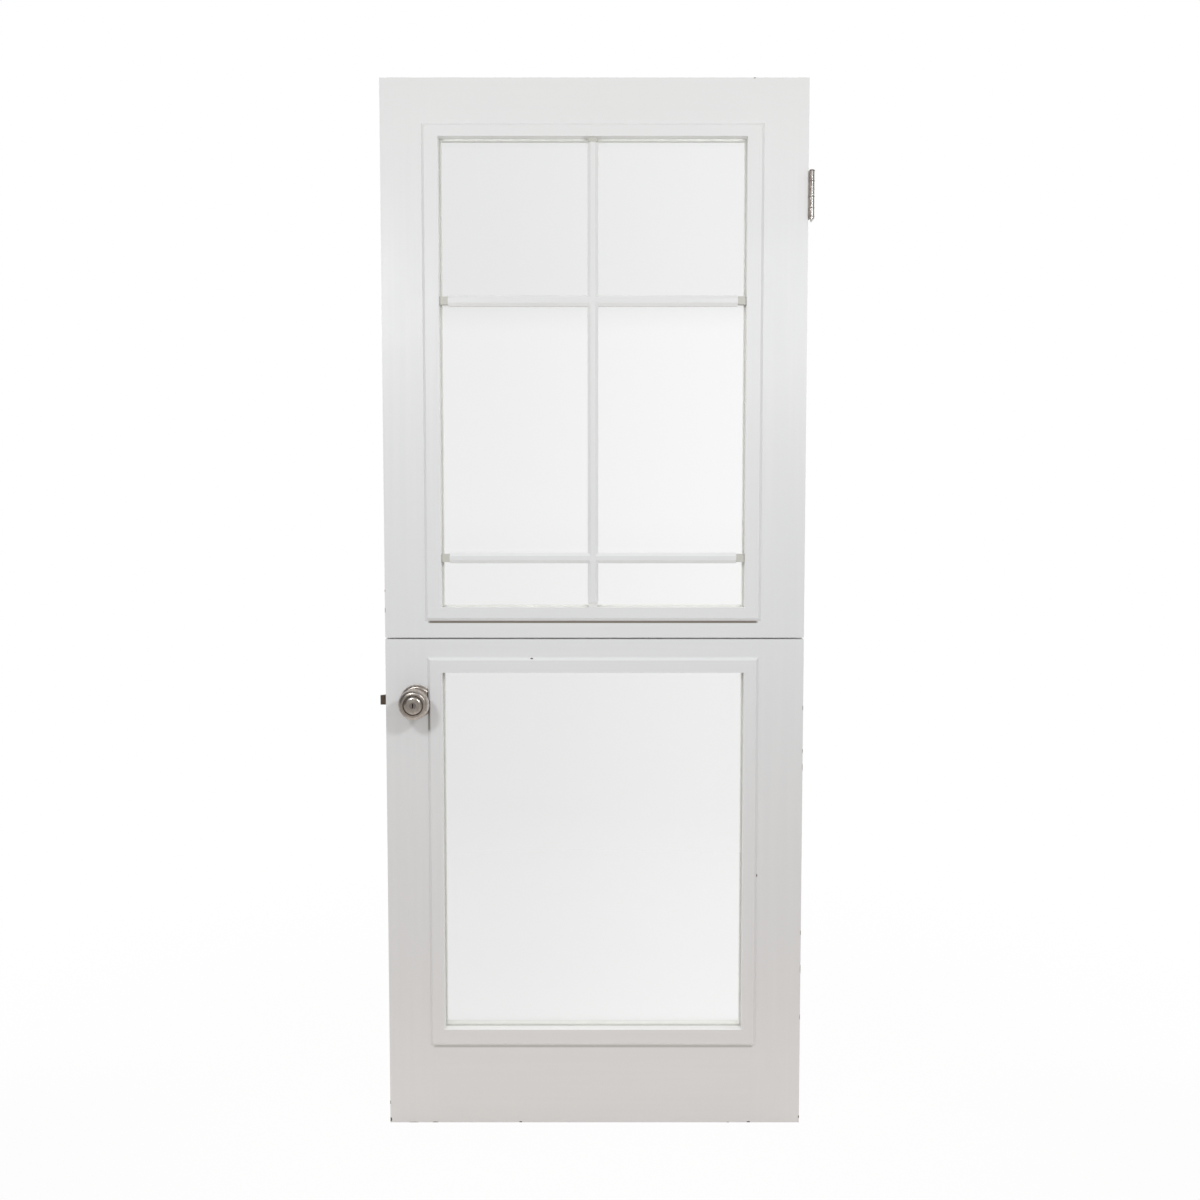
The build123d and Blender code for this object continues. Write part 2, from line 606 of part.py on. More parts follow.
def knob(side, bore_radius):
    """Knob on a waisted neck, with a groove round its front disc, whose edge is rounded."""
    rim = KNOB_PROJECTION - KNOB_RIM_DROP
    floor = rim - GROOVE_DEPTH
    neck = Polyline((0, NECK_START), (NECK_RADIUS, NECK_START), (WAIST_RADIUS, WAIST_END))
    bowl = Spline((WAIST_RADIUS, WAIST_END), (KNOB_RADIUS, KNOB_WIDEST), tangents=((0, 1), (0, 1)))
    front = Spline((KNOB_RADIUS, KNOB_WIDEST), (KNOB_RIM_RADIUS, rim), tangents=((0, 1), (-1, 0)))
    crest = KNOB_PROJECTION - DISC_SHOULDER
    groove = Polyline((KNOB_RIM_RADIUS, rim), (KNOB_RIM_RADIUS, floor), (DISC_RADIUS, floor), (DISC_RADIUS, crest))
    shoulder = TangentArc((DISC_FLAT_RADIUS, KNOB_PROJECTION), (DISC_RADIUS, crest), tangent=(1, 0))
    middle = Polyline((DISC_FLAT_RADIUS, KNOB_PROJECTION), (0, KNOB_PROJECTION), (0, NECK_START))
    solid = turned(side, neck + bowl + front + groove + shoulder + middle)
    inner_end = KNOB_PROJECTION - PLUG_LENGTH - PLUG_FIT
    solid -= rod(bore_radius, lock_point(outward(side, inner_end)), lock_point(outward(side, KNOB_PROJECTION)))
    return solid - square_bar(SPINDLE_WIDTH + 2 * SPINDLE_FIT, outward(side, NECK_START),
                              outward(side, SPINDLE_REACH + SPINDLE_FIT))


def key_plug():
    """Cylinder of the lock with its keyway, flush with the outer knob."""
    front = outward(-1, KNOB_PROJECTION)
    plug = rod(PLUG_RADIUS, lock_point(front), lock_point(outward(-1, KNOB_PROJECTION - PLUG_LENGTH)))
    keyway = block((LOCK_X - KEYWAY_WIDTH / 2, LOCK_X + KEYWAY_WIDTH / 2), (front, front + KEYWAY_DEPTH),
                   (LOCK_HEIGHT - KEYWAY_HEIGHT / 2, LOCK_HEIGHT + KEYWAY_HEIGHT / 2))
    return plug - keyway


def turn_button():
    """Oval button on a stem in the inner knob."""
    lift = KNOB_PROJECTION + BUTTON_LIFT
    stem = rod(BUTTON_STEM_RADIUS, lock_point(outward(1, KNOB_PROJECTION - PLUG_LENGTH)),
               lock_point(outward(1, lift)))
    plane = Plane(origin=lock_point(outward(1, lift)), x_dir=(0, 0, 1), z_dir=(0, 1, 0))
    grip = extrude(plane * SlotOverall(BUTTON_WIDTH, BUTTON_THICKNESS), BUTTON_HEIGHT)
    return stem + grip


# Joining bolt
def joiner_screw_places(low, high):
    half = JOINER_PLATE_WIDTH / 2 - JOINER_SCREW_INSET
    return [(JOINER_X + side * half, z) for side in (-1, 1)
            for z in (low + JOINER_SCREW_INSET, high - JOINER_SCREW_INSET)]


def joiner_screws(low, high, fit=0.0):
    return [screw(JOINER_SCREW, (x, JOINER_FACE, z), (0, -1, 0), fit)
            for x, z in joiner_screw_places(low, high)]


def guide(low, high, bore_radius):
    """Round-backed bracket with a bore for the rod."""
    half = GUIDE_WIDTH / 2
    flank = block((JOINER_X - half, JOINER_X + half), (FACE, RODBOLT_Y), (low, high))
    bore = rod(bore_radius, (JOINER_X, RODBOLT_Y, low), (JOINER_X, RODBOLT_Y, high))
    return flank + rod(half, (JOINER_X, RODBOLT_Y, low), (JOINER_X, RODBOLT_Y, high)) - bore


CASE_SPAN = (MEETING_EDGE + JOINER_PLATE_RISE, MEETING_EDGE + JOINER_PLATE_RISE + JOINER_PLATE_HEIGHT)
KEEPER_SPAN = (LOWER_LEAF_HEIGHT - KEEPER_DROP - KEEPER_HEIGHT, LOWER_LEAF_HEIGHT - KEEPER_DROP)


def joiner_plate(span):
    half = JOINER_PLATE_WIDTH / 2
    return block((JOINER_X - half, JOINER_X + half), (FACE, JOINER_FACE), span)


def joining_bolt_case():
    low, high = CASE_SPAN
    bore = RODBOLT_RADIUS + RODBOLT_FIT
    guides = guide(low, low + GUIDE_HEIGHT, bore) + guide(high - GUIDE_HEIGHT, high, bore)
    return joiner_plate(CASE_SPAN) + guides - joiner_screws(low, high, SCREW_FIT)


def joining_bolt_rod():
    """Rod with a turned finger knob between the guides."""
    low = MEETING_EDGE + RODBOLT_RISE
    shaft = rod(RODBOLT_RADIUS, (JOINER_X, RODBOLT_Y, low), (JOINER_X, RODBOLT_Y, low + RODBOLT_LENGTH))
    z = low + RODBOLT_LENGTH - FINGER_FROM_TOP
    end = RODBOLT_Y + RODBOLT_RADIUS + FINGER_LENGTH
    finger = rod(FINGER_RADIUS, (JOINER_X, RODBOLT_Y, z), (JOINER_X, end, z))
    return shaft + finger + Pos(JOINER_X, end, z) * Sphere(FINGER_KNOB_RADIUS)


def keeper_strap(low, high):
    """Squared strap round the rod, with room on all sides."""
    inner = RODBOLT_RADIUS + KEEPER_FIT
    outer = inner + KEEPER_STRAP
    strap = block((JOINER_X - outer, JOINER_X + outer), (FACE, RODBOLT_Y + outer), (low, high))
    return strap - block((JOINER_X - inner, JOINER_X + inner), (JOINER_FACE, RODBOLT_Y + inner), (low, high))


def joining_bolt_keeper():
    low, high = KEEPER_SPAN
    strap = keeper_strap(high - KEEPER_LOOP_HEIGHT, high)
    return joiner_plate(KEEPER_SPAN) + strap - joiner_screws(low, high, SCREW_FIT)


# All sub-parts by name
def leaf_nodes(name, leaf):
    """Wood, mouldings and glass that both leaves have."""
    rails = {"upper": ("meeting_rail", "top_rail"), "lower": ("bottom_rail", "meeting_rail")}[name]
    pieces = dict(zip(("latch_stile", "hinge_stile") + rails, timbers(leaf)))
    for face, side in (("front", -1), ("back", 1)):
        for place, moulding in mouldings(leaf, side).items():
            pieces[f"{face}_moulding_{place}"] = moulding
    pieces["front_pane"], pieces["back_pane"], pieces["spacer"] = glass_unit(leaf)
    pieces["dowels"] = Compound(dowels(leaf))
    pieces["moulding_screws"] = Compound(mould_screws(leaf))
    return {f"{name}_{piece}": shape for piece, shape in pieces.items()}


def all_nodes():
    nodes = leaf_nodes("upper", UPPER) | leaf_nodes("lower", LOWER)
    knuckles = knuckle_spans()
    nodes["upper_hinge_stile"] -= hinge_screw_holes(-1)
    nodes["upper_latch_stile"] -= joiner_screws(*CASE_SPAN, SCREW_FIT)
    nodes["lower_latch_stile"] -= (lock_bores() + faceplate_screws(SCREW_FIT)
                                   + joiner_screws(*KEEPER_SPAN, SCREW_FIT))
    nodes["muntin_upright"], nodes["muntin_upper_cross"], nodes["muntin_lower_cross"] = grille()
    nodes["muntin_clips"] = Compound(clips())
    nodes["hinge_jamb_plate"] = hinge_plate(1, knuckles[0::2])
    nodes["hinge_door_plate"] = hinge_plate(-1, knuckles[1::2])
    nodes["hinge_pin"] = hinge_pin()
    nodes["hinge_door_screws"] = Compound(hinge_screws())
    nodes["latch_case"] = latch_case()
    nodes["latch_bolt"] = latch_bolt()
    nodes["faceplate_screws"] = Compound(faceplate_screws())
    nodes["spindle"] = spindle()
    nodes["outside_rose"] = rose(-1)
    nodes["inside_rose"] = rose(1)
    nodes["rose_screws"] = Compound(rose_screws())
    nodes["outside_knob"] = knob(-1, PLUG_RADIUS + PLUG_FIT)
    nodes["inside_knob"] = knob(1, BUTTON_STEM_RADIUS + PLUG_FIT)
    nodes["key_plug"] = key_plug()
    nodes["turn_button"] = turn_button()
    nodes["joining_bolt_case"] = joining_bolt_case()
    nodes["joining_bolt_rod"] = joining_bolt_rod()
    nodes["joining_bolt_keeper"] = joining_bolt_keeper()
    nodes["joining_bolt_screws"] = Compound(joiner_screws(*CASE_SPAN))
    nodes["keeper_screws"] = Compound(joiner_screws(*KEEPER_SPAN))
    return nodes


for node_name, node_shape in all_nodes().items():
    export_step(node_shape, f"parts/{node_name}.step")
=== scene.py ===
"""Looks of the dutch stable door: camera, lights, floor and the material of every sub-part."""

import json
import math

import bpy
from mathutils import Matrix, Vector


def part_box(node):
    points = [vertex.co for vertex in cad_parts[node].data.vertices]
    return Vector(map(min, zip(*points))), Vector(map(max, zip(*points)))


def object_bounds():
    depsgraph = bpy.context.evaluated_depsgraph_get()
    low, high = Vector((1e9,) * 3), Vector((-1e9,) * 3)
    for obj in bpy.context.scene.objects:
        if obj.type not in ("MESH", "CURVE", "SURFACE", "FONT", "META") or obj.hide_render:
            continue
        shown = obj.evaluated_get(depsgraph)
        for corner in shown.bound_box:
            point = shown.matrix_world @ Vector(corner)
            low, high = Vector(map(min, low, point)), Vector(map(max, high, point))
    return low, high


# Metres throughout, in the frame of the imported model. The outer face looks to -Y.
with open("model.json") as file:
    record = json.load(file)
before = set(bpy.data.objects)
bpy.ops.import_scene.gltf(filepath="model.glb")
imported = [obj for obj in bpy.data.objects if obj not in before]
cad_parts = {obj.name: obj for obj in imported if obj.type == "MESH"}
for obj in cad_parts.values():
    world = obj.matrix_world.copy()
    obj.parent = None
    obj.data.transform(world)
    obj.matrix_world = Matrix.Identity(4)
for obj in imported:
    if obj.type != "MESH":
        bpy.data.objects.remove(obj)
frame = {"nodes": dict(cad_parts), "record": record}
cad_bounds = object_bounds()
nodes = frame["nodes"]
slots = {entry["node"]: entry["material_slot"] for entry in frame["record"]["subparts"]}


def middle(name):
    low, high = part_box(name)
    return (low + high) / 2


OUTER_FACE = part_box("lower_latch_stile")[0].y
KNOB_AXIS = middle("outside_knob")
KNOB_FRONT = -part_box("outside_knob")[0].y
HINGE_PIN_X = middle("hinge_pin").x
HINGE_MIDDLE_Z = middle("hinge_jamb_plate").z

# Camera, fitted to the outline of the door in the photograph
IMAGE_SIDE = 1200
SENSOR_WIDTH = 36.0
FOCAL_PIXELS = 1446.0
CAMERA_PLACE = (0.0106, -2.8172, 1.2495)
CAMERA_PITCH = math.radians(4.228)
CAMERA_CLIP_START = 0.05

# Two small square lamps: place and power, with their side, colour and the point they aim at
LEFT_LAMP = ((-0.80, -1.60, 1.83), 8.3)
RIGHT_LAMP = ((0.75, -1.60, 1.83), 9.2)
LAMP_SIDE = 0.22
LAMP_TINT = (0.965, 0.985, 1.0)
LAMP_AIM = (0.0, 0.0, 1.15)

# World: its strength as a fill and in reflections, and the directions between which that changes
WHITE = (1.0, 1.0, 1.0)
FILL_TINT = (1.0, 0.990, 0.975)
FRONT_FILL, BACK_FILL = 0.59, 1.0
FILL_DEPTHS = (-0.10, 0.25)
FRONT_GLOSS, BACK_GLOSS = 0.16, 1.0
GLOSS_DEPTHS = (-0.30, 0.45)
LEFT_GLOSS, RIGHT_GLOSS = 0.30, 1.0
GLOSS_SIDES = (-0.6, 0.3)

# Floor: its colours, the share of white that is seen on it, and the distances between which they change
FLOOR_HALF_SIDE = 30.0
FLOOR_ROUGHNESS = 0.9
NEAR_FLOOR = (0.80, 0.78, 0.76)
FAR_FLOOR = (0.50, 0.49, 0.48)
BACK_FLOOR = (0.85, 0.85, 0.85)
FLOOR_FAR_AWAY = (0.5, 1.2)
FLOOR_BEHIND = (0.05, 0.4)
FLOOR_WHITE_AWAY = (0.8, 2.2)
FLOOR_WHITE_SHARE = (0.96, 1.0)

# Paint tones by height, which paint in light and shade: each makes up the brightness that the lamps and floor
# give at its height, so the top and bottom are lighter; warmer towards the floor, and cooler where the leaves
# meet
PAINT_AND_LIGHT_TONES = (
    (0.00, (0.838, 0.812, 0.797)), (0.25, (0.788, 0.764, 0.757)), (0.65, (0.783, 0.776, 0.778)),
    (0.95, (0.786, 0.789, 0.799)), (1.40, (0.766, 0.767, 0.769)), (1.75, (0.767, 0.768, 0.769)),
    (2.03, (0.842, 0.840, 0.837)),
)
SOILED_PAINT, MOST_SOIL = (0.750, 0.755, 0.765), 0.20
STREAKED_PAINT, MOST_STREAK = (0.845, 0.845, 0.835), 0.18
PAINT_ROUGHNESS = (0.34, 0.43)
PAINT_SPECULAR = 0.5
# Paint on slopes and in reveals is made paler, and the more so where it looks down: painted fill light for faces
# that the lamps and world leave too dark
SLOPE_PAINTED_LIGHT = 1.22
UNDERSIDE_PAINTED_LIGHT = 1.10
PALEST_PAINT = (0.94, 0.94, 0.93)
# Parts of a surface's direction between which it counts as a slope, or as looking down, left or outwards
SLOPE_TURN = (0.2, 1.0)
DOWNWARD = (-0.5, -0.1)
LEFTWARD = (-0.5, -0.3)
OUTWARD = (-0.5, -0.2)
# Waves of the grain per metre, and how much coarser its streaks are
GRAIN_ACROSS, GRAIN_ALONG = 520.0, 11.0
STREAK_COARSENESS = 5

# Paint chips: x, z, half width and half height
CHIPS = (
    (0.3027, 2.0315, 0.0022, 0.0010), (-0.122, 0.9290, 0.0030, 0.0013), (0.3185, 0.500, 0.0012, 0.0030),
    (-0.4060, 0.0410, 0.0008, 0.0040), (-0.4055, 0.0060, 0.0022, 0.0045), (-0.360, 0.0000, 0.0100, 0.0008),
    (-0.317, 0.0003, 0.0060, 0.0012), (-0.147, 0.0008, 0.0030, 0.0014), (0.306, 0.0008, 0.0034, 0.0016),
    (0.265, 0.0000, 0.0030, 0.0010), (0.4058, 0.0115, 0.0012, 0.0030), (0.4062, 0.215, 0.0006, 0.0060),
    (0.4062, 0.385, 0.0007, 0.0050), (0.4062, 0.312, 0.0006, 0.0090), (0.4062, 0.747, 0.0007, 0.0040),
    (0.4062, 0.832, 0.0008, 0.0050), (0.4062, 0.715, 0.0006, 0.0080), (-0.4062, 1.061, 0.0007, 0.0030),
    (-0.4062, 1.023, 0.0007, 0.0050),
)
CHIP_BROWN = (0.120, 0.078, 0.050)
# A chip fades between these squares of its half size, and between these depths behind the outer face
CHIP_RIM = (1.1, 1.7)
CHIP_DEPTHS = (OUTER_FACE + 0.00325, OUTER_FACE + 0.00385)
CHIP_RAGGED_DEPTH = 0.004

# Painted shadow under the bottom mouldings, in a brown also used for the knob's painted shadow: its strength on
# each leaf, place, spread and how it fades at the corners
PAINTED_SHADOW_BROWN = (0.205, 0.172, 0.142)
MOULDING_SHADOW = (("upper", 1.0), ("lower", 0.42))
MOULDING_SHADOW_DROP = 0.0028
MOULDING_SHADOW_SPREAD = (0.0012, 0.0030)
MOULDING_SHADOW_CORNERS = (0.003, 0.010)
MOULDING_SHADOW_DEPTHS = (OUTER_FACE + 0.00075, OUTER_FACE + 0.00175)
# Painted shadow of the knob on the moulding's left bevel, just below the knob
KNOB_SHADOW_DROP = 0.0274
KNOB_SHADOW_SPREAD = (0.026, 0.034)
KNOB_SHADOW_STRENGTH = 0.66
KNOB_SHADOW_DEPTHS = (OUTER_FACE - 0.00015, OUTER_FACE + 0.00025)

# Glass tones by height, and how much the left side is darker: painted shade of the backdrop seen through the
# panes
GLASS_SHADE_TONES = (
    (0.00, (0.962, 0.965, 0.962)), (0.40, (0.950, 0.953, 0.950)), (0.62, (0.932, 0.935, 0.932)),
    (0.95, (0.932, 0.935, 0.932)), (1.00, (0.966, 0.968, 0.966)), (1.10, (0.968, 0.970, 0.968)),
    (1.20, (0.982, 0.984, 0.982)), (1.56, (0.982, 0.984, 0.982)), (1.62, (0.945, 0.948, 0.945)),
    (2.03, (0.944, 0.948, 0.945)),
)
GLASS_SIDES = (-0.33, 0.33)
GLASS_LEFT_SHADE = 0.957
GLASS_IOR = 1.5
DUST_ROUGHNESS = 0.035

# Spacer and clips: the two tones that each varies between. The spacer's pale aluminium is made paler still, as
# painted light for its shaded place in the reveal
SPACER_LIT_TONES = (0.90, 0.90, 0.86), (0.96, 0.955, 0.91)
SPACER_METALLIC = 0.1
SPACER_ROUGHNESS = 0.42
CLIP_TONES = (0.530, 0.525, 0.480), (0.620, 0.615, 0.570)
CLIP_ROUGHNESS = 0.55
# The clip under the upright bar is paler
FOOT_CLIP_TONE = (0.735, 0.735, 0.720)
FOOT_CLIP_HEIGHTS = (1.25, 1.35)
FOOT_CLIP_SIDES = (0.05, 0.10)

# Nickel of the lockset: distances are from the knobs' axis, and the groove runs round the disc
NICKEL_TONES = (0.665, 0.605, 0.550), (0.530, 0.470, 0.420)
NICKEL_ROUGHNESS = (0.28, 0.40)
TURNING_PITCH = 0.0007
DISC_RING_PITCH = 0.0022
DISC_EDGE = (0.0105, 0.0125)
GROOVE_RADIUS = 0.01865
GROOVE_SPREAD = (0.0007, 0.0013)
GROOVE_STRENGTH = 0.85
GROOVE_BROWN = (0.110, 0.082, 0.070)
GROOVE_DEPTHS = (KNOB_FRONT - 0.00725, KNOB_FRONT - 0.00575)

# Hinge: height above its middle and half width of each dirty line between its knuckles
KNUCKLE_LINES = ((0.0440, 0.0016), (0.0245, 0.0008), (0.0095, 0.0006), (-0.0045, 0.0008), (-0.0255, 0.0008),
                 (-0.0413, 0.0010))
LINE_EDGES = (0.6, 1.3)
LINE_START, LINE_STRENGTH = 0.95, 1.6
# Brown pulled to the left of the pin: partly real stain, and on the barrel's left side painted shade
LEFT_SHADE_SIDES = (HINGE_PIN_X - 0.0038, HINGE_PIN_X - 0.0008)
LEFT_SHADE_STRENGTH = 0.30
STAIN_LEVELS = (0.56, 0.72)
CLEAN_STEEL = (0.80, 0.78, 0.75)
STAIN_TONES = (0.440, 0.375, 0.330), (0.275, 0.222, 0.200)
LINE_BROWN = (0.190, 0.150, 0.125)
STEEL_ROUGHNESS = (0.26, 0.65)
STAINED_METALLIC = 0.25

# Plain metals: light and dark tone, least roughness and how metallic
PLAIN_METALS = {
    "painted_steel": ((0.74, 0.74, 0.72), (0.68, 0.68, 0.66), 0.38, 0.0),
    "dark_bronze": ((0.165, 0.128, 0.098), (0.100, 0.075, 0.058), 0.42, 0.6),
    "key_brass": ((0.43, 0.385, 0.36), (0.33, 0.29, 0.27), 0.32, 1.0),
    "screw_steel": ((0.58, 0.57, 0.55), (0.44, 0.43, 0.41), 0.36, 1.0),
}
METAL_ROUGHNESS_SPREAD = 0.12

# Bare wood of the dowels
WOOD_TONES = (0.62, 0.44, 0.25), (0.50, 0.33, 0.17)
WOOD_ROUGHNESS = 0.7

# Noises: waves per metre, detail and roughness. Those of one wave get their waves from a stretch.
GRAIN = (1.0, 5.0, 0.62)
STREAKS = (1.0, 2.0, 0.5)
CLOUDS = (3.2, 4.0, 0.55)
CHIP_RIMS = (900.0, 2.0, 0.5)
DUST = (45.0, 6.0, 0.7)
SEALANT = (60.0, 4.0, 0.6)
SPECKLE = (700.0, 3.0, 0.6)
SMUDGES = (160.0, 4.0, 0.6)
STEEL_STREAKS, STEEL_STREAK_STRETCH = (1.0, 5.0, 0.6), (420.0, 420.0, 60.0)
STEEL_BLOTCHES = (150.0, 5.0, 0.65)
METAL_BLOTCHES = (220.0, 4.0, 0.6)
WOOD_GRAIN, WOOD_STRETCH = (1.0, 5.0, 0.6), (12.0, 500.0, 500.0)
# Values of a noise between which a tone, a gloss, soil, streaks, stain or dust goes from none to all
TONE_RANGE = (0.35, 0.7)
GLOSS_RANGE = (0.3, 0.7)
SOIL_RANGE = (0.42, 0.72)
STREAK_RANGE = (0.35, 0.75)
STAIN_RANGE = (0.40, 0.62)
DUST_RANGE = (0.45, 0.80)

# Reliefs: strength and depth
CLOUD_RELIEF = (0.25, 0.004)
GRAIN_RELIEF = (0.30, 0.00035)
CHIP_RELIEF = (0.6, 0.0006)
SEALANT_RELIEF = (0.05, 0.0002)
SPECKLE_RELIEF = (0.15, 0.0003)
TURNING_RELIEF = (0.10, 0.00006)
DISC_RELIEF = (0.35, 0.00025)
SMUDGE_RELIEF = (0.05, 0.0004)
STEEL_RELIEF = (0.25, 0.0004)
METAL_RELIEF = (0.15, 0.0003)
WOOD_RELIEF = (0.3, 0.0004)

# Width of the small bevel on the edges of each material
BEVELS = {"painted_wood": 0.0006, "satin_nickel": 0.0002, "worn_steel": 0.0002, "dark_bronze": 0.0005,
          "painted_steel": 0.0004, "clip_plastic": 0.0003, "spacer_aluminium": 0.0003}
BEVEL_SEGMENTS = 2
BEVEL_ANGLE = math.radians(32)
WELD_DISTANCE = 0.00001
SPACER_FILM = -0.0002
# Nodes with small screw holes or a rolled barrel keep their modelled edges
UNBEVELLED = ("back_moulding", "joining_bolt", "hinge_door_plate", "hinge_jamb_plate", "hinge_pin")

# Inputs and output of Blender's Mix node for numbers and for colours
MIX_FACTOR = 0
MIX_SOCKETS = {"FLOAT": (2, 3, 0), "RGBA": (6, 7, 2)}


# Node helpers
def fill(tree, socket, value):
    """Gives an input a value or another node's output."""
    if isinstance(value, bpy.types.NodeSocket):
        tree.links.new(value, socket)
    else:
        socket.default_value = value


def fill_all(tree, made, inputs):
    for name, value in inputs.items():
        fill(tree, made.inputs[name], value)


def node(tree, kind, inputs=None, **settings):
    """New shader node. An input takes a value or another node's output."""
    made = tree.nodes.new(kind)
    for name, value in settings.items():
        setattr(made, name, value)
    fill_all(tree, made, inputs or {})
    return made


def math_node(tree, operation, *values):
    return node(tree, "ShaderNodeMath", dict(enumerate(values)), operation=operation).outputs[0]


def vector_node(tree, operation, *values):
    return node(tree, "ShaderNodeVectorMath", dict(enumerate(values)), operation=operation).outputs["Vector"]


def product(tree, first, second):
    return math_node(tree, "MULTIPLY", first, second)


def largest(tree, first, second):
    return math_node(tree, "MAXIMUM", first, second)


def absolute(tree, value):
    return math_node(tree, "ABSOLUTE", value)


def away(tree, value, level):
    """Distance of a value from a level, on either side."""
    return absolute(tree, math_node(tree, "SUBTRACT", value, level))


def ramp(tree, value, low, high, start=0.0, end=1.0):
    """Smooth step from start to end as value goes from low to high."""
    inputs = {"Value": value, "From Min": low, "From Max": high, "To Min": start, "To Max": end}
    return node(tree, "ShaderNodeMapRange", inputs, interpolation_type="SMOOTHSTEP").outputs["Result"]


def mix(tree, kind, factor, first, second):
    """Goes from first to second with the factor. The kind is FLOAT or RGBA."""
    first_input, second_input, result = MIX_SOCKETS[kind]
    made = node(tree, "ShaderNodeMix", data_type=kind)
    for index, value in ((MIX_FACTOR, factor), (first_input, first), (second_input, second)):
        fill(tree, made.inputs[index], value)
    return made.outputs[result]


def blend(tree, factor, first, second):
    """Mix of two colours, each a colour or an output."""
    solid = [(*colour, 1.0) if isinstance(colour, tuple) else colour for colour in (first, second)]
    return mix(tree, "RGBA", factor, *solid)


def axes(tree, vector):
    """X, Y and Z of a vector."""
    split = node(tree, "ShaderNodeSeparateXYZ", {"Vector": vector})
    return split.outputs["X"], split.outputs["Y"], split.outputs["Z"]


def place(tree):
    """Place of a point in the object's own frame, which moves with it."""
    return tree.nodes.new("ShaderNodeTexCoord").outputs["Object"]


def facing(tree):
    """Direction in which a surface looks, in the object's own frame."""
    return tree.nodes.new("ShaderNodeTexCoord").outputs["Normal"]


def tone_by_height(tree, height, tones):
    """Colour that follows a list of heights and colours."""
    top = tones[-1][0]
    made = node(tree, "ShaderNodeValToRGB", {"Fac": math_node(tree, "DIVIDE", height, top)})
    stops = made.color_ramp.elements
    while len(stops) < len(tones):
        stops.new(0.5)
    for stop, (level, colour) in zip(stops, tones):
        stop.position = level / top
        stop.color = (*colour, 1.0)
    return made.outputs["Color"]


def noise(tree, vector, scale, detail, roughness, stretch=(1.0, 1.0, 1.0)):
    mapped = node(tree, "ShaderNodeMapping", {"Vector": vector, "Scale": stretch}).outputs["Vector"]
    inputs = {"Vector": mapped, "Scale": scale, "Detail": detail, "Roughness": roughness}
    return node(tree, "ShaderNodeTexNoise", inputs).outputs["Fac"]


def bump(tree, height, strength, distance, normal=None):
    made = node(tree, "ShaderNodeBump", {"Height": height, "Strength": strength, "Distance": distance})
    if normal is not None:
        tree.links.new(normal, made.inputs["Normal"])
    return made.outputs["Normal"]


def new_material(name):
    material = bpy.data.materials.new(name)
    material.use_nodes = True
    tree = material.node_tree
    return material, tree, tree.nodes["Principled BSDF"]


# Wear of the paint
def chip_mask(tree, where):
    """One where paint is missing at the outer face, from the list of chips with ragged rims."""
    ragged = noise(tree, where, *CHIP_RIMS)
    x, y, z = axes(tree, where)
    mask = None
    for chip_x, chip_z, half_width, half_height in CHIPS:
        across = math_node(tree, "DIVIDE", math_node(tree, "SUBTRACT", x, chip_x), half_width)
        up = math_node(tree, "DIVIDE", math_node(tree, "SUBTRACT", z, chip_z), half_height)
        reach = math_node(tree, "ADD", product(tree, across, across), product(tree, up, up))
        inside = ramp(tree, math_node(tree, "ADD", reach, ragged), *CHIP_RIM, 1.0, 0.0)
        mask = inside if mask is None else largest(tree, mask, inside)
    depth = math_node(tree, "ADD", y, product(tree, ragged, CHIP_RAGGED_DEPTH))
    return product(tree, mask, ramp(tree, depth, *CHIP_DEPTHS, 1.0, 0.0))


def shadow_under_mouldings(tree, across, height):
    """A painted shadow line under each bottom moulding, which fades before its corners."""
    near, far = MOULDING_SHADOW_CORNERS
    lines = None
    for leaf, strength in MOULDING_SHADOW:
        low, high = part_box(f"{leaf}_front_moulding_bottom")
        line = ramp(tree, away(tree, height, low.z - MOULDING_SHADOW_DROP), *MOULDING_SHADOW_SPREAD, strength, 0.0)
        from_left = ramp(tree, across, low.x + near, low.x + far)
        from_right = ramp(tree, across, high.x - far, high.x - near, 1.0, 0.0)
        line = product(tree, line, product(tree, from_left, from_right))
        lines = line if lines is None else largest(tree, lines, line)
    return lines


def painted_shadow_mask(tree, where):
    """Painted shadow under the two front mouldings, and the knob's painted shadow on the left bevel beside it.
    """
    across, depth, height = axes(tree, where)
    normal_x, normal_y, _ = axes(tree, facing(tree))
    under_mouldings = product(tree, shadow_under_mouldings(tree, across, height), ramp(tree, depth, *MOULDING_SHADOW_DEPTHS, 1.0, 0.0))
    leftward = ramp(tree, normal_x, *LEFTWARD, 1.0, 0.0)
    sloping = ramp(tree, normal_y, *OUTWARD, 1.0, 0.0)
    left_bevel = product(tree, product(tree, leftward, sloping), ramp(tree, depth, *KNOB_SHADOW_DEPTHS, 1.0, 0.0))
    off_knob = away(tree, height, KNOB_AXIS.z - KNOB_SHADOW_DROP)
    knob_shadow = ramp(tree, off_knob, *KNOB_SHADOW_SPREAD, KNOB_SHADOW_STRENGTH, 0.0)
    return largest(tree, under_mouldings, product(tree, left_bevel, knob_shadow))


def lit_paint_tone(tree, where):
    """Paint colour by height with painted light and shade, made paler as painted fill light where the surface
    slopes or looks down.
    """
    _, normal_y, normal_z = axes(tree, facing(tree))
    slope_light = ramp(tree, absolute(tree, normal_y), *SLOPE_TURN, SLOPE_PAINTED_LIGHT, 1.0)
    underside_light = ramp(tree, normal_z, *DOWNWARD, UNDERSIDE_PAINTED_LIGHT, 1.0)
    tone = tone_by_height(tree, axes(tree, where)[2], PAINT_AND_LIGHT_TONES)
    lit_tone = vector_node(tree, "MULTIPLY", tone, product(tree, slope_light, underside_light))
    return vector_node(tree, "MINIMUM", lit_tone, PALEST_PAINT)


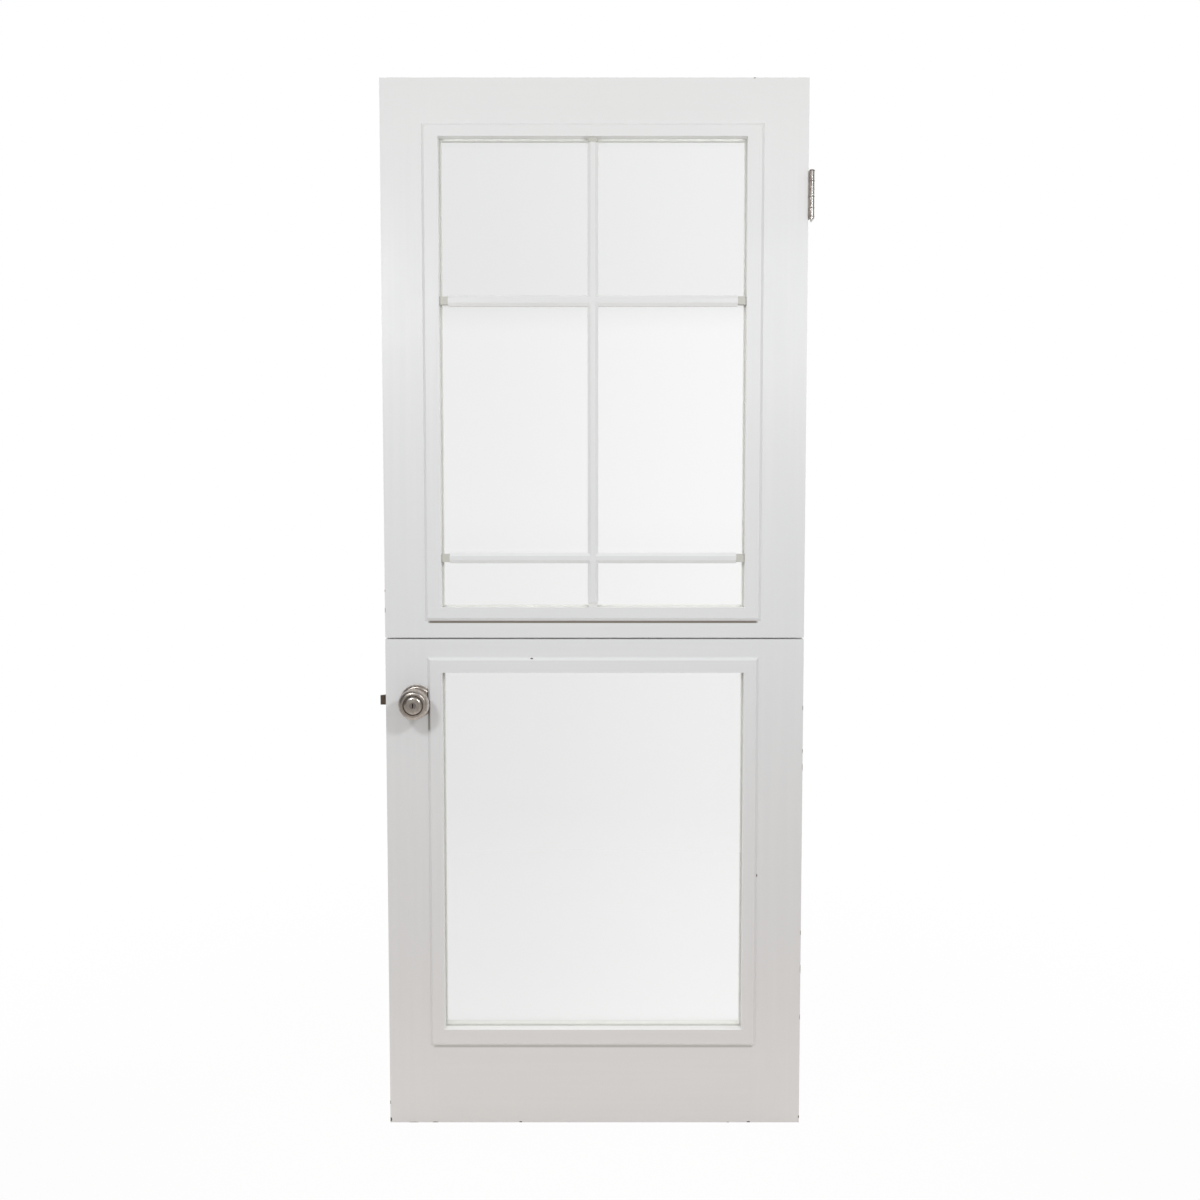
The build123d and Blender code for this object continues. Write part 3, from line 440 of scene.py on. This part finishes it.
# Materials
def painted_wood(name, grain_along):
    """Satin white paint over a fine grain that runs along X or Z."""
    material, tree, shader = new_material(name)
    where = place(tree)
    stretch = (GRAIN_ACROSS, GRAIN_ACROSS, GRAIN_ALONG)
    if grain_along == "X":
        stretch = (GRAIN_ALONG, GRAIN_ACROSS, GRAIN_ACROSS)
    grain = noise(tree, where, *GRAIN, stretch)
    streaks = noise(tree, where, *STREAKS, tuple(value / STREAK_COARSENESS for value in stretch))
    clouds = noise(tree, where, *CLOUDS)
    chips = chip_mask(tree, where)
    # The paint tone carries painted light and shade by height, and painted fill light on slopes, reveals and
    # undersides
    colour = blend(tree, ramp(tree, clouds, *SOIL_RANGE, 0.0, MOST_SOIL), lit_paint_tone(tree, where), SOILED_PAINT)
    colour = blend(tree, ramp(tree, streaks, *STREAK_RANGE, 0.0, MOST_STREAK), colour, STREAKED_PAINT)
    # Painted shadows in brown: under the bottom mouldings, and the knob's shadow on the left bevel
    colour = blend(tree, painted_shadow_mask(tree, where), colour, PAINTED_SHADOW_BROWN)
    relief = bump(tree, clouds, *CLOUD_RELIEF)
    relief = bump(tree, grain, *GRAIN_RELIEF, relief)
    fill_all(tree, shader, {
        "Base Color": blend(tree, chips, colour, CHIP_BROWN),
        "Roughness": largest(tree, ramp(tree, clouds, *GLOSS_RANGE, *PAINT_ROUGHNESS), chips),
        "Specular IOR Level": PAINT_SPECULAR,
        "Normal": bump(tree, math_node(tree, "SUBTRACT", 1.0, chips), *CHIP_RELIEF, relief),
    })
    return material


def clear_glass(name):
    """Clear pane with a faint green tint, painted shade of the backdrop by height and on the left, and dust; it
    lets shadow and scattered rays pass.
    """
    material, tree, shader = new_material(name)
    where = place(tree)
    across, _, height = axes(tree, where)
    # Painted shade of the backdrop seen through the pane, by height and darker on the left
    shade = ramp(tree, across, *GLASS_SIDES, GLASS_LEFT_SHADE, 1.0)
    colour = vector_node(tree, "MULTIPLY", tone_by_height(tree, height, GLASS_SHADE_TONES), shade)
    path = tree.nodes.new("ShaderNodeLightPath")
    passing = largest(tree, path.outputs["Is Shadow Ray"], path.outputs["Is Diffuse Ray"])
    fill_all(tree, shader, {
        "Base Color": colour,
        "Roughness": ramp(tree, noise(tree, where, *DUST), *DUST_RANGE, 0.0, DUST_ROUGHNESS),
        "Transmission Weight": 1.0,
        "IOR": GLASS_IOR,
        "Alpha": math_node(tree, "SUBTRACT", 1.0, passing),
    })
    return material


def spacer_metal(name):
    """Folded aluminium strip with a pale sealant film, its tones raised as painted light."""
    material, tree, shader = new_material(name)
    film = noise(tree, place(tree), *SEALANT)
    fill_all(tree, shader, {
        "Base Color": blend(tree, ramp(tree, film, *TONE_RANGE), *SPACER_LIT_TONES),
        "Metallic": SPACER_METALLIC,
        "Roughness": SPACER_ROUGHNESS,
        "Normal": bump(tree, film, *SEALANT_RELIEF),
    })
    return material


def aged_plastic(name):
    """Beige end clips, and a paler one under the upright bar."""
    material, tree, shader = new_material(name)
    where = place(tree)
    across, _, height = axes(tree, where)
    speckle = noise(tree, where, *SPECKLE)
    inner = ramp(tree, absolute(tree, across), *FOOT_CLIP_SIDES, 1.0, 0.0)
    at_foot = product(tree, inner, ramp(tree, height, *FOOT_CLIP_HEIGHTS, 1.0, 0.0))
    colour = blend(tree, ramp(tree, speckle, *TONE_RANGE), *CLIP_TONES)
    fill_all(tree, shader, {
        "Base Color": blend(tree, at_foot, colour, FOOT_CLIP_TONE),
        "Roughness": CLIP_ROUGHNESS,
        "Normal": bump(tree, speckle, *SPECKLE_RELIEF),
    })
    return material


def rings(tree, reach, pitch):
    """Wave in the distance from the knobs' axis."""
    return math_node(tree, "SINE", product(tree, reach, 2 * math.pi / pitch))


def satin_nickel(name):
    """Turned and brushed nickel: fine rings about the knobs' axis, and grime in the disc's groove."""
    material, tree, shader = new_material(name)
    where = place(tree)
    x, y, z = axes(tree, where)
    across = math_node(tree, "SUBTRACT", x, KNOB_AXIS.x)
    up = math_node(tree, "SUBTRACT", z, KNOB_AXIS.z)
    squares = math_node(tree, "ADD", product(tree, across, across), product(tree, up, up))
    reach = math_node(tree, "SQRT", squares)
    smudges = noise(tree, where, *SMUDGES)
    clean = blend(tree, ramp(tree, smudges, *TONE_RANGE), *NICKEL_TONES)
    in_groove = ramp(tree, away(tree, reach, GROOVE_RADIUS), *GROOVE_SPREAD, GROOVE_STRENGTH, 0.0)
    grime = product(tree, in_groove, ramp(tree, absolute(tree, y), *GROOVE_DEPTHS))
    on_disc = product(tree, rings(tree, reach, DISC_RING_PITCH), ramp(tree, reach, *DISC_EDGE, 1.0, 0.0))
    relief = bump(tree, rings(tree, reach, TURNING_PITCH), *TURNING_RELIEF)
    relief = bump(tree, on_disc, *DISC_RELIEF, relief)
    fill_all(tree, shader, {
        "Base Color": blend(tree, grime, clean, GROOVE_BROWN),
        "Metallic": 1.0,
        "Roughness": ramp(tree, smudges, *GLOSS_RANGE, *NICKEL_ROUGHNESS),
        "Normal": bump(tree, smudges, *SMUDGE_RELIEF, relief),
    })
    return material


def worn_steel(name):
    """Hinge steel with a brown stain in streaks, darkened further on its left side as painted shade, and grime
    between its knuckles.
    """
    material, tree, shader = new_material(name)
    where = place(tree)
    across, _, height = axes(tree, where)
    streaks = noise(tree, where, *STEEL_STREAKS, STEEL_STREAK_STRETCH)
    blotches = noise(tree, where, *STEEL_BLOTCHES)
    mixed = math_node(tree, "ADD", product(tree, streaks, 0.5), product(tree, blotches, 0.5))
    # Painted shade on the barrel's left side, added to the streaked stain
    leftward = ramp(tree, across, *LEFT_SHADE_SIDES, LEFT_SHADE_STRENGTH, 0.0)
    stain_and_shade = ramp(tree, math_node(tree, "ADD", mixed, leftward), *STAIN_LEVELS)
    grime = stain_and_shade
    for rise, half_width in KNUCKLE_LINES:
        edges = [half_width * edge for edge in LINE_EDGES]
        line = ramp(tree, away(tree, height, HINGE_MIDDLE_Z + rise), *edges, LINE_STRENGTH, 0.0)
        grime = largest(tree, grime, line)
    brown = blend(tree, ramp(tree, streaks, *STAIN_RANGE), *STAIN_TONES)
    stained_and_shaded = blend(tree, stain_and_shade, CLEAN_STEEL, brown)
    cover = math_node(tree, "MINIMUM", grime, 1.0)
    fill_all(tree, shader, {
        "Base Color": blend(tree, ramp(tree, grime, LINE_START, LINE_STRENGTH), stained_and_shaded, LINE_BROWN),
        "Metallic": ramp(tree, cover, 0.0, 1.0, 1.0, STAINED_METALLIC),
        "Roughness": ramp(tree, cover, 0.0, 1.0, *STEEL_ROUGHNESS),
        "Normal": bump(tree, blotches, *STEEL_RELIEF),
    })
    return material


def plain_metal(name, light, dark, roughness, metallic):
    """Metal whose tone varies from light to dark in small blotches."""
    material, tree, shader = new_material(name)
    blotches = noise(tree, place(tree), *METAL_BLOTCHES)
    fill_all(tree, shader, {
        "Base Color": blend(tree, ramp(tree, blotches, *TONE_RANGE), light, dark),
        "Metallic": metallic,
        "Roughness": ramp(tree, blotches, *GLOSS_RANGE, roughness, roughness + METAL_ROUGHNESS_SPREAD),
        "Normal": bump(tree, blotches, *METAL_RELIEF),
    })
    return material


def bare_wood(name):
    material, tree, shader = new_material(name)
    grain = noise(tree, place(tree), *WOOD_GRAIN, WOOD_STRETCH)
    fill_all(tree, shader, {
        "Base Color": blend(tree, grain, *WOOD_TONES),
        "Roughness": WOOD_ROUGHNESS,
        "Normal": bump(tree, grain, *WOOD_RELIEF),
    })
    return material


materials = {
    "glass": clear_glass("glass"),
    "spacer_aluminium": spacer_metal("spacer_aluminium"),
    "clip_plastic": aged_plastic("clip_plastic"),
    "satin_nickel": satin_nickel("satin_nickel"),
    "worn_steel": worn_steel("worn_steel"),
    "dowel_wood": bare_wood("dowel_wood"),
    **{slot: plain_metal(slot, *settings) for slot, settings in PLAIN_METALS.items()},
}
painted = {along: painted_wood(f"painted_wood_{along}", along) for along in "XZ"}


# Every CAD node gets the material of its slot, and painted wood the grain of its length
def runs_across(name):
    low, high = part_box(name)
    return high.x - low.x > high.z - low.z


def dress(name, cad_object):
    if slots[name] == "painted_wood":
        material = painted["X" if runs_across(name) else "Z"]
    else:
        material = materials[slots[name]]
    cad_object.data.materials.clear()
    cad_object.data.materials.append(material)


def soften(name, cad_object):
    """Joins split corners, then rounds the sharp edges."""
    width = BEVELS.get(slots[name])
    if width is None or any(word in name for word in UNBEVELLED):
        return
    weld = cad_object.modifiers.new("weld", "WELD")
    weld.merge_threshold = WELD_DISTANCE
    bevel = cad_object.modifiers.new("bevel", "BEVEL")
    bevel.width = width
    bevel.segments = BEVEL_SEGMENTS
    bevel.limit_method = "ANGLE"
    bevel.angle_limit = BEVEL_ANGLE
    if slots[name] == "spacer_aluminium":
        film = cad_object.modifiers.new("film", "DISPLACE")
        film.mid_level = 0.0
        film.strength = SPACER_FILM


# Camera, lamps, world and floor
def add_camera():
    data = bpy.data.cameras.new("camera")
    data.sensor_width = SENSOR_WIDTH
    data.lens = FOCAL_PIXELS / IMAGE_SIDE * SENSOR_WIDTH
    data.clip_start = CAMERA_CLIP_START
    camera = bpy.data.objects.new("camera", data)
    camera.location = CAMERA_PLACE
    camera.rotation_euler = (math.radians(90) - CAMERA_PITCH, 0.0, 0.0)
    bpy.context.scene.collection.objects.link(camera)
    bpy.context.scene.camera = camera


def add_lamp(name, where, power):
    data = bpy.data.lights.new(name, "AREA")
    data.shape = "RECTANGLE"
    data.size = data.size_y = LAMP_SIDE
    data.energy = power
    data.color = LAMP_TINT
    lamp = bpy.data.objects.new(name, data)
    lamp.location = where
    aim = Vector(LAMP_AIM) - Vector(where)
    lamp.rotation_euler = aim.to_track_quat("-Z", "Y").to_euler()
    lamp.visible_camera = False
    lamp.visible_transmission = False
    bpy.context.scene.collection.objects.link(lamp)


def seen_directly(tree):
    """One for camera and transmission rays, and a second mask for glossy rays."""
    path = tree.nodes.new("ShaderNodeLightPath")
    direct = largest(tree, path.outputs["Is Camera Ray"], path.outputs["Is Transmission Ray"])
    return direct, path.outputs["Is Glossy Ray"]


def add_world():
    """White to what is seen directly, a dim room in front for reflections, and a soft fill otherwise."""
    world = bpy.data.worlds.new("world")
    bpy.context.scene.world = world
    world.use_nodes = True
    tree = world.node_tree
    background = tree.nodes["Background"]
    direct, glossy = seen_directly(tree)
    side, depth, _ = axes(tree, tree.nodes.new("ShaderNodeTexCoord").outputs["Generated"])
    reflected = product(tree, ramp(tree, depth, *GLOSS_DEPTHS, FRONT_GLOSS, BACK_GLOSS),
                        ramp(tree, side, *GLOSS_SIDES, LEFT_GLOSS, RIGHT_GLOSS))
    scattered = ramp(tree, depth, *FILL_DEPTHS, FRONT_FILL, BACK_FILL)
    unseen = mix(tree, "FLOAT", glossy, scattered, reflected)
    fill(tree, background.inputs["Strength"], mix(tree, "FLOAT", direct, unseen, 1.0))
    fill(tree, background.inputs["Color"], blend(tree, direct, FILL_TINT, WHITE))


def add_floor():
    """Grey floor that is seen as white and keeps a trace of the shadow."""
    side = FLOOR_HALF_SIDE
    level = cad_bounds[0][2]
    corners = [(-side, -side, level), (side, -side, level), (side, side, level), (-side, side, level)]
    mesh = bpy.data.meshes.new("floor")
    mesh.from_pydata(corners, [], [(0, 1, 2, 3)])
    floor = bpy.data.objects.new("floor", mesh)
    bpy.context.scene.collection.objects.link(floor)
    material, tree, shader = new_material("floor")
    where = place(tree)
    distance = node(tree, "ShaderNodeVectorMath", {0: where}, operation="LENGTH").outputs["Value"]
    far = blend(tree, ramp(tree, axes(tree, where)[1], *FLOOR_BEHIND), FAR_FLOOR, BACK_FLOOR)
    colour = blend(tree, ramp(tree, distance, *FLOOR_FAR_AWAY), NEAR_FLOOR, far)
    fill_all(tree, shader, {"Base Color": colour, "Roughness": FLOOR_ROUGHNESS})
    glow = node(tree, "ShaderNodeEmission", {"Strength": 1.0}).outputs["Emission"]
    white = ramp(tree, distance, *FLOOR_WHITE_AWAY, *FLOOR_WHITE_SHARE)
    share = product(tree, seen_directly(tree)[0], white)
    surface = node(tree, "ShaderNodeMixShader", {0: share, 1: shader.outputs["BSDF"], 2: glow})
    tree.links.new(surface.outputs["Shader"], tree.nodes["Material Output"].inputs["Surface"])
    mesh.materials.append(material)


for node_name, node_object in nodes.items():
    dress(node_name, node_object)
    soften(node_name, node_object)

add_camera()
add_lamp("left_lamp", *LEFT_LAMP)
add_lamp("right_lamp", *RIGHT_LAMP)
add_world()
add_floor()
bpy.context.scene.view_settings.view_transform = "Standard"
